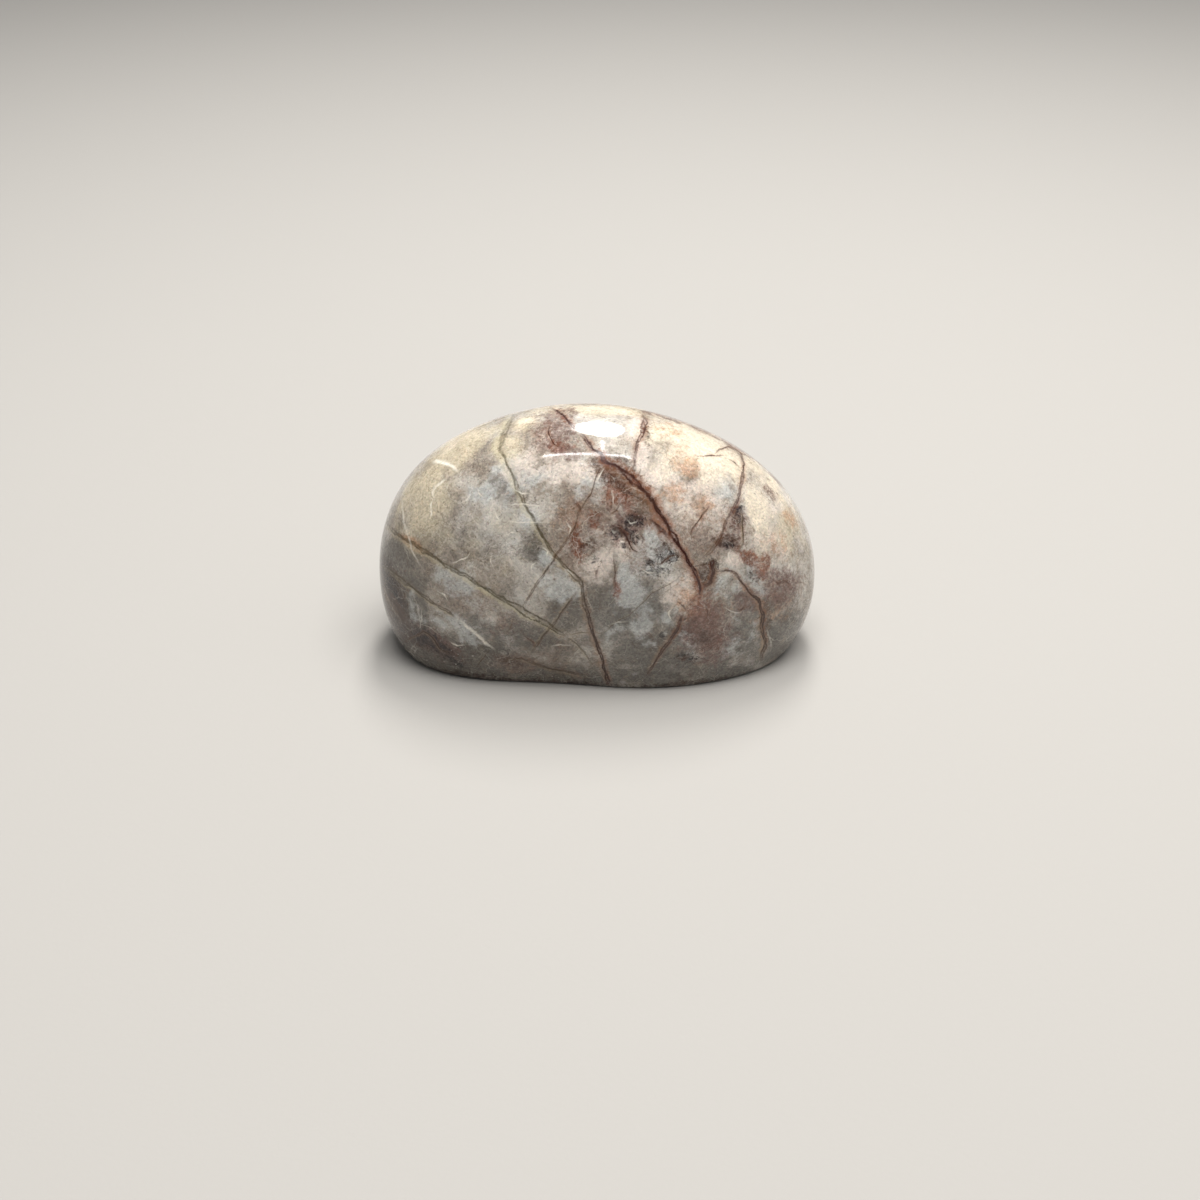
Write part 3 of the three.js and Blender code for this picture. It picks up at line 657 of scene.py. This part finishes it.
# Across a healed fracture, from four widths on one side to four on the other: a stained band with a soft side
# where the sheet dips away under the clear quartz
seamProfiles = {
    "olive": [
        (0.29, "#cbc19d", 0.0), (0.36, "#d9d2ac", 0.6), (0.44, "#e2dcbc", 0.9), (0.465, "#9a9170", 0.65),
        (0.54, "#7b7357", 0.65), (0.575, "#857c66", 0.35), (0.68, "#918872", 0.0)],
    "rust": [
        (0.2, "#a07a62", 0.0), (0.36, "#9d6845", 0.4), (0.43, "#7b4733", 0.8), (0.5, "#6b3726", 0.95),
        (0.56, "#724230", 0.75), (0.61, "#a2623c", 0.5), (0.72, "#b07a54", 0.0)],
    "white": [(0.4, "#e2dacb", 0.0), (0.47, "#f8f3e6", 0.95), (0.53, "#f8f3e6", 0.95), (0.6, "#e2dacb", 0.0)],
}
paleGroups = ("white", "paleScratches")  # only white; in the others olive turns to rust

# In the band run two thin dark strands, which part and meet again. Where each runs is a share of the width
seamStrands = {
    "reach": (-0.25, 0.8),
    "noise": 6.0,  # mm
    "line": (0.07, 0.15),  # half a strand is this many mm, and this share of the width
    "olive": "#4b452f",
    "rust": "#391c16",
    "seeds": (7.0, 19.0),
}


def stainField(points, patches):
    # how deep each point is in the patches: a patch's weight in its middle and about half of that at its edge
    total = np.zeros(len(points))
    for place, sizes, turn, weight in patches:
        middle = np.array(onStone(place)) if len(place) == 2 else np.array(place) * mm
        a = math.radians(turn)
        longAxis = across * math.cos(a) + upward * math.sin(a)
        axes = (longAxis, longAxis.cross(along), along)
        reach = (sizes[0], sizes[1], stainShape["depth"] * max(sizes))
        away = sum(((points - middle) @ np.array(axis) / (size * mm)) ** 2 for axis, size in zip(axes, reach))
        total = np.maximum(total, weight * np.exp(-stainShape["fade"] * away))
    return total


def bentSpaces(tree, plain):
    # everything inside the stone follows a bent space, so that no patch keeps a drawn outline
    spaces = {"plain": plain}
    for name, (size, detail, still, reach) in quartzBody["spaces"].items():
        push = addNode(tree, noise, None, {"Vector": plain, "Scale": 1 / size, "Detail": detail})
        push = addNode(tree, vectors, "SUBTRACT", {0: push.outputs["Color"], 1: (still,) * 3})
        spaces[name] = addNode(tree, vectors, "MULTIPLY_ADD", {0: push, 1: (reach,) * 3, 2: plain})
    return spaces


def noiseFields(tree, plain):
    fields = {}
    for name, (size, detail, roughness, low, high, least, most) in quartzBody["fields"].items():
        field = addNode(tree, noise, None, {
            "Vector": plain, "Scale": 1 / size, "Detail": detail, "Roughness": roughness})
        fields[name] = addNode(tree, mapRange, None, {0: field, 1: low, 2: high, 3: least, 4: most})
    return fields


def clouded(tree, spaces, holes):
    # taupe to pale grey clouds, and over them each stain where it lies, broken up by noise of its own size;
    # some stains carry painted shade or painted light
    size, detail, roughness = quartzBody["cloudNoise"]
    clouds = addNode(tree, noise, None, {
        "Vector": spaces["warped"], "Scale": 1 / size, "Detail": detail, "Roughness": roughness})
    colour = addNode(tree, "ShaderNodeValToRGB", None, {0: clouds}, quartzBody["clouds"])
    for label, (code, strength, kind, (size, amount), soft, _) in stains.items():
        detail, roughness = stainShape[kind]
        field = addNode(tree, "ShaderNodeAttribute", {"attribute_name": label + "Stain"}).outputs["Fac"]
        patchy = addNode(tree, noise, None, {
            "Vector": spaces["warped"], "Scale": 1 / size, "Detail": detail, "Roughness": roughness})
        depth = addNode(tree, maths, "MULTIPLY_ADD", {0: patchy, 1: amount, 2: field})
        edge = stainShape["edge"] + amount / 2
        mask = addNode(tree, mapRange, smoothStep, {
            0: depth, 1: edge - soft, 2: edge + soft, 3: 0.0, 4: strength})
        if kind == "broken":
            mask = addNode(tree, maths, "MULTIPLY", {0: mask, 1: holes})
        colour = addNode(tree, mix, None, {"Fac": mask, "Color1": colour, "Color2": linearColour(code)})
    return colour


def grained(tree, colour, spaces):
    # crystal grains with ragged edges, and mottling, at several scales down to sugary grain, which is drawn
    # 0.4 mm wide so that it shows
    tone = 1.0
    for size, least, most in quartzBody["grains"]:
        cells = addNode(tree, "ShaderNodeTexVoronoi", None, {"Vector": spaces["frayed"], "Scale": 1 / size})
        cells = addNode(tree, "ShaderNodeSeparateXYZ", None, {0: cells.outputs["Color"]})
        cells = addNode(tree, mapRange, None, {0: cells, 1: 0.0, 2: 1.0, 3: least, 4: most})
        tone = addNode(tree, maths, "MULTIPLY", {0: tone, 1: cells})
    for size, detail, least, most in quartzBody["mottling"]:
        layer = addNode(tree, noise, None, {
            "Vector": spaces["plain"], "Scale": 1 / size, "Detail": detail, "Roughness": 0.7})
        layer = addNode(tree, mapRange, None, {0: layer, 1: 0.3, 2: 0.7, 3: least, 4: most})
        tone = addNode(tree, maths, "MULTIPLY", {0: tone, 1: layer})
    # pale quartz is the clearest, so its grain shows least
    start, end, lost = quartzBody["clearing"]
    pale = addNode(tree, "ShaderNodeRGBToBW", None, {0: colour})
    clear = addNode(tree, mapRange, None, {0: pale, 1: start, 2: end, 3: 0.0, 4: lost})
    tone = addNode(tree, "ShaderNodeMix", None, {0: clear, 2: tone, 3: 1.0})
    colour = addNode(tree, vectors, "SCALE", {0: colour, "Scale": tone})
    size, drift = quartzBody["tint"]
    tint = addNode(tree, noise, None, {"Vector": spaces["plain"], "Scale": 1 / size, "Detail": 2.0})
    tint = addNode(tree, vectors, "MULTIPLY_ADD", {
        0: tint.outputs["Color"], 1: (drift,) * 3, 2: (1 - drift / 2,) * 3})
    return addNode(tree, vectors, "MULTIPLY", {0: colour, 1: tint})


def overlaid(tree, colour, kind, start):
    # specks are single dark and bright grains and hairlines are nets of fine brown and pale cracks. Both come
    # only here and there
    swarm, begins, full = quartzBody["swarms"][kind]
    for size, width, code, cover, seed in quartzBody[kind]:
        moved = addNode(tree, vectors, "ADD", {0: start, 1: (seed,) * 3})
        feature = {"feature": "F1" if kind == "specks" else "DISTANCE_TO_EDGE"}
        cells = addNode(tree, "ShaderNodeTexVoronoi", feature, {"Vector": moved, "Scale": 1 / size})
        reach = width / size
        if kind == "specks":
            chance = addNode(tree, "ShaderNodeSeparateXYZ", None, {0: cells.outputs["Color"]})
            reach = addNode(tree, mapRange, None, {0: chance, 1: 0.5, 2: 1.0, 3: 0.0, 4: 1.6 * reach})
        mark = addNode(tree, mapRange, smoothStep, {
            0: cells.outputs["Distance"], 1: 0.0, 2: reach, 3: cover, 4: 0.0})
        where = addNode(tree, noise, None, {"Vector": moved, "Scale": 1 / swarm, "Detail": 3.0})
        where = addNode(tree, mapRange, None, {0: where, 1: begins, 2: full, 3: 0.0, 4: 1.0})
        mark = addNode(tree, maths, "MULTIPLY", {0: mark, 1: where})
        colour = addNode(tree, mix, None, {"Fac": mark, "Color1": colour, "Color2": linearColour(code)})
    return colour


def strandCourses(tree, plain):
    # where each strand runs in the width of a seam, and how strong it is there
    courses = []
    least, most = seamStrands["reach"]
    for seed in seamStrands["seeds"]:
        moved = addNode(tree, vectors, "ADD", {0: plain, 1: (seed,) * 3})
        course = addNode(tree, noise, None, {
            "Vector": moved, "Scale": 1 / seamStrands["noise"], "Detail": 4.0})
        course = addNode(tree, mapRange, None, {0: course, 1: 0.3, 2: 0.7, 3: least, 4: most})
        strength = addNode(tree, noise, None, {
            "Vector": moved, "Scale": 1 / 2, "Detail": 5.0, "Roughness": 0.8})
        strength = addNode(tree, mapRange, None, {0: strength, 1: 0.35, 2: 0.52, 3: 0.3, 4: 1.0})
        courses.append((course, strength))
    return courses


def seamed(tree, colour, groups, plain, fields):
    # healed fractures, stained where water once ran in them, and the painted highlights on the pit's rims,
    # drawn the same way. Returns the colour and how much of it is seam
    wiggle = addNode(tree, maths, "ADD", {0: fields["jitter"], 1: fields["wiggle"]})
    strands = strandCourses(tree, plain)
    seamCover = 0.0
    for group in groups:
        seam = addNode(tree, "ShaderNodeAttribute", {"attribute_name": group + "Seam"}).outputs["Vector"]
        look = addNode(tree, "ShaderNodeAttribute", {"attribute_name": group + "Look"}).outputs["Vector"]
        signed, far, _ = addNode(tree, "ShaderNodeSeparateXYZ", None, {0: seam}).outputs
        width, rust, presence = addNode(tree, "ShaderNodeSeparateXYZ", None, {0: look}).outputs
        # between two sheets the signed distance jumps through nothing, and only there it is far from the true
        near = addNode(tree, maths, "ABSOLUTE", {0: signed})
        jump = addNode(tree, maths, "SUBTRACT", {0: far, 1: near})
        real = addNode(tree, mapRange, None, {0: jump, 1: 0.4, 2: 0.7, 3: 1.0, 4: 0.0})
        here = addNode(tree, maths, "MULTIPLY", {0: presence, 1: real})
        shifted = addNode(tree, maths, "ADD", {0: signed, 1: wiggle})
        spread = addNode(tree, maths, "MULTIPLY", {0: width, 1: fields["ragged"]})
        within = addNode(tree, maths, "DIVIDE", {0: shifted, 1: spread})
        share = addNode(tree, maths, "MULTIPLY_ADD", {0: within, 1: 1 / 8, 2: 0.5})
        pale = group in paleGroups
        paints, covers = [], []
        for kind in ("white",) if pale else ("olive", "rust"):
            profile = addNode(tree, "ShaderNodeValToRGB", None, {0: share}, seamProfiles[kind]).outputs
            paints.append(profile["Color"])
            covers.append(profile["Alpha"])
        paint, cover = paints[0], covers[0]
        if not pale:
            paint = addNode(tree, mix, None, {"Fac": rust, "Color1": paints[0], "Color2": paints[1]})
            cover = addNode(tree, "ShaderNodeMix", None, {0: rust, 2: covers[0], 3: covers[1]})
        for factor in (here, fields["patchy"], fields["holes"]):
            cover = addNode(tree, maths, "MULTIPLY", {0: cover, 1: factor})
        colour = addNode(tree, mix, None, {"Fac": cover, "Color1": colour, "Color2": paint})
        seamCover = addNode(tree, maths, "MAXIMUM", {0: seamCover, 1: cover})
        if not pale:
            dark = addNode(tree, mix, None, {
                "Fac": rust, "Color1": linearColour(seamStrands["olive"]),
                "Color2": linearColour(seamStrands["rust"])})
            least, portion = seamStrands["line"]
            half = addNode(tree, maths, "MULTIPLY_ADD", {0: width, 1: portion, 2: least})
            for side, (course, strength) in zip((-1.0, 1.0), strands):
                middle = addNode(tree, maths, "MULTIPLY", {0: course, 1: spread})
                aside = addNode(tree, maths, "MULTIPLY_ADD", {0: middle, 1: side, 2: shifted})
                aside = addNode(tree, maths, "ABSOLUTE", {0: aside})
                strand = addNode(tree, maths, "DIVIDE", {0: aside, 1: half})
                strand = addNode(tree, mapRange, smoothStep, {0: strand, 1: 0.4, 2: 1.7, 3: 1.0, 4: 0.0})
                for factor in (strength, here):
                    strand = addNode(tree, maths, "MULTIPLY", {0: strand, 1: factor})
                colour = addNode(tree, mix, None, {"Fac": strand, "Color1": colour, "Color2": dark})
    return colour, seamCover


def polishedQuartz(groups):
    # milky quartz polished to a gloss: light goes a little way in, so clouds look soft under a hard shine
    material = bpy.data.materials.new("polishedQuartz")
    material.use_nodes = True
    tree = material.node_tree
    tree.nodes.clear()
    place = addNode(tree, "ShaderNodeTexCoord").outputs["Object"]
    inMm = addNode(tree, vectors, "SCALE", {0: place, "Scale": 1 / mm})
    spaces = bentSpaces(tree, inMm)
    fields = noiseFields(tree, inMm)
    colour = clouded(tree, spaces, fields["holes"])
    colour = grained(tree, colour, spaces)
    colour = overlaid(tree, colour, "specks", inMm)
    colour = overlaid(tree, colour, "hairlines", spaces["bent"])
    colour, seamCover = seamed(tree, colour, groups, inMm, fields)
    smooth, rough = polish["roughness"]
    gloss = addNode(tree, mapRange, None, {0: seamCover, 1: 0.0, 2: 1.0, 3: smooth, 4: rough})
    wave = addNode(tree, noise, None, {"Vector": inMm, "Scale": 1 / polish["swell"], "Detail": 2.0})
    relief = addNode(tree, maths, "MULTIPLY_ADD", {0: seamCover, 1: polish["seamDip"], 2: wave})
    bump = addNode(tree, "ShaderNodeBump", None, {
        "Strength": 0.4, "Distance": polish["relief"] * mm, "Height": relief})
    surface = addNode(tree, "ShaderNodeBsdfPrincipled", None, {
        "Base Color": colour, "Roughness": gloss, "IOR": polish["ior"], "Normal": bump,
        "Subsurface Weight": 0.2, "Subsurface Radius": (1.0, 0.8, 0.6), "Subsurface Scale": 1.5 * mm})
    addNode(tree, "ShaderNodeOutputMaterial", None, {"Surface": surface})
    return material


groups = list(seamSheets)
quartz = polishedQuartz(groups)
sheets = {group: sheetObject(group + "Sheets", seamSheets[group]) for group in groups}
sheetInputs = {f"{group} sheets": sheets[group] for group in groups}
stone = runTree(bare.data, seamTree(groups), {**sheetInputs, "Finish": quartz}, "polished_stone")
for helper in (bare, *sheets.values()):
    bpy.data.objects.remove(helper)
print("healed fractures laid through the stone:", sum(len(s) for s in seamSheets.values()))

spots = np.empty(len(stone.data.vertices) * 3)
stone.data.vertices.foreach_get("co", spots)
spots = spots.reshape(-1, 3)
for label, (*_, patches) in stains.items():
    layer = stone.data.attributes.new(label + "Stain", "FLOAT", "POINT")
    layer.data.foreach_set("value", stainField(spots, patches))
stone.data.materials.clear()
stone.data.materials.append(quartz)
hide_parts("quartz_stone")
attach(stone, "root")
print("stone finished")


# A plain pale floor under soft studio light
studio = {
    "floor": "#b0aeab",
    "floorSize": 6.0,  # m
    "world": "#f3f3f3",
    "worldStrength": 0.21,
    # name: (direction from the stone, distance m, size across and along m, power W, colour, shape, shine)
    "lights": {
        "overheadDisc": ((0.07, 0.45, 0.87), 1.0, (0.235, 0.5), 6.8, "#fffcf7", "ELLIPSE", True),
        "overheadStrip": ((0.01, -0.19, 0.96), 1.0, (0.47, 0.045), 1.1, "#ffffff", "RECTANGLE", True),
        "overheadFilm": ((-0.03, -0.26, 0.94), 1.0, (0.4, 0.09), 0.14, "#ffffff", "RECTANGLE", True),
        "overheadLine": ((0.03, -0.38, 0.92), 1.0, (0.14, 0.012), 0.05, "#ffffff", "RECTANGLE", True),
        "overheadStem": ((0.075, -0.03, 1.0), 1.0, (0.02, 0.3), 0.35, "#ffffff", "RECTANGLE", True),
        "overheadSoft": ((0.14, -0.12, 1.0), 1.2, (1.0, 0.9), 16.2, "#fffcf7", "RECTANGLE", False),
        "softRight": ((0.9, -0.25, 0.9), 1.6, (1.0, 1.0), 1.6, "#fffaf4", "RECTANGLE", True),
    },
}


def paper():
    # matt card: no shine, only a faint tooth
    material = bpy.data.materials.new("mattCard")
    material.use_nodes = True
    tree = material.node_tree
    tree.nodes.clear()
    place = addNode(tree, "ShaderNodeTexCoord").outputs["Object"]
    tooth = addNode(tree, noise, None, {"Vector": place, "Scale": 900.0, "Detail": 3.0})
    bump = addNode(tree, "ShaderNodeBump", None, {"Strength": 0.3, "Distance": 0.1 * mm, "Height": tooth})
    matt = addNode(tree, "ShaderNodeBsdfPrincipled", None, {
        "Base Color": linearColour(studio["floor"]), "Roughness": 0.85, "Specular IOR Level": 0.2,
        "Normal": bump})
    addNode(tree, "ShaderNodeOutputMaterial", None, {"Surface": matt})
    return material


half = studio["floorSize"] / 2
corners = [(-half, -half, 0), (half, -half, 0), (half, half, 0), (-half, half, 0)]
floorMesh = bpy.data.meshes.new("floor")
floorMesh.from_pydata(corners, [], [(0, 1, 2, 3)])
floorMesh.materials.append(paper())
floor = bpy.data.objects.new("floor", floorMesh)
bpy.context.scene.collection.objects.link(floor)

centre = (cadLow + cadHigh) / 2
for name, (towards, distance, size, power, tint, shape, shine) in studio["lights"].items():
    lamp = bpy.data.lights.new(name, "AREA")
    lamp.shape = shape
    lamp.size, lamp.size_y = size
    lamp.energy = power
    lamp.color = linearColour(tint)[:3]
    light = bpy.data.objects.new(name, lamp)
    aim = Vector(towards).normalized()
    side = (across - aim * across.dot(aim)).normalized()
    light.location = centre + aim * distance
    light.rotation_euler = Matrix((side, aim.cross(side), aim)).transposed().to_euler()
    light.visible_camera = False
    light.visible_glossy = shine
    bpy.context.scene.collection.objects.link(light)

world = bpy.data.worlds.new("studio")
world.use_nodes = True
world.node_tree.nodes["Background"].inputs["Color"].default_value = linearColour(studio["world"])
world.node_tree.nodes["Background"].inputs["Strength"].default_value = studio["worldStrength"]
bpy.context.scene.world = world
bpy.context.scene.view_settings.view_transform = "Standard"
print("studio lit")
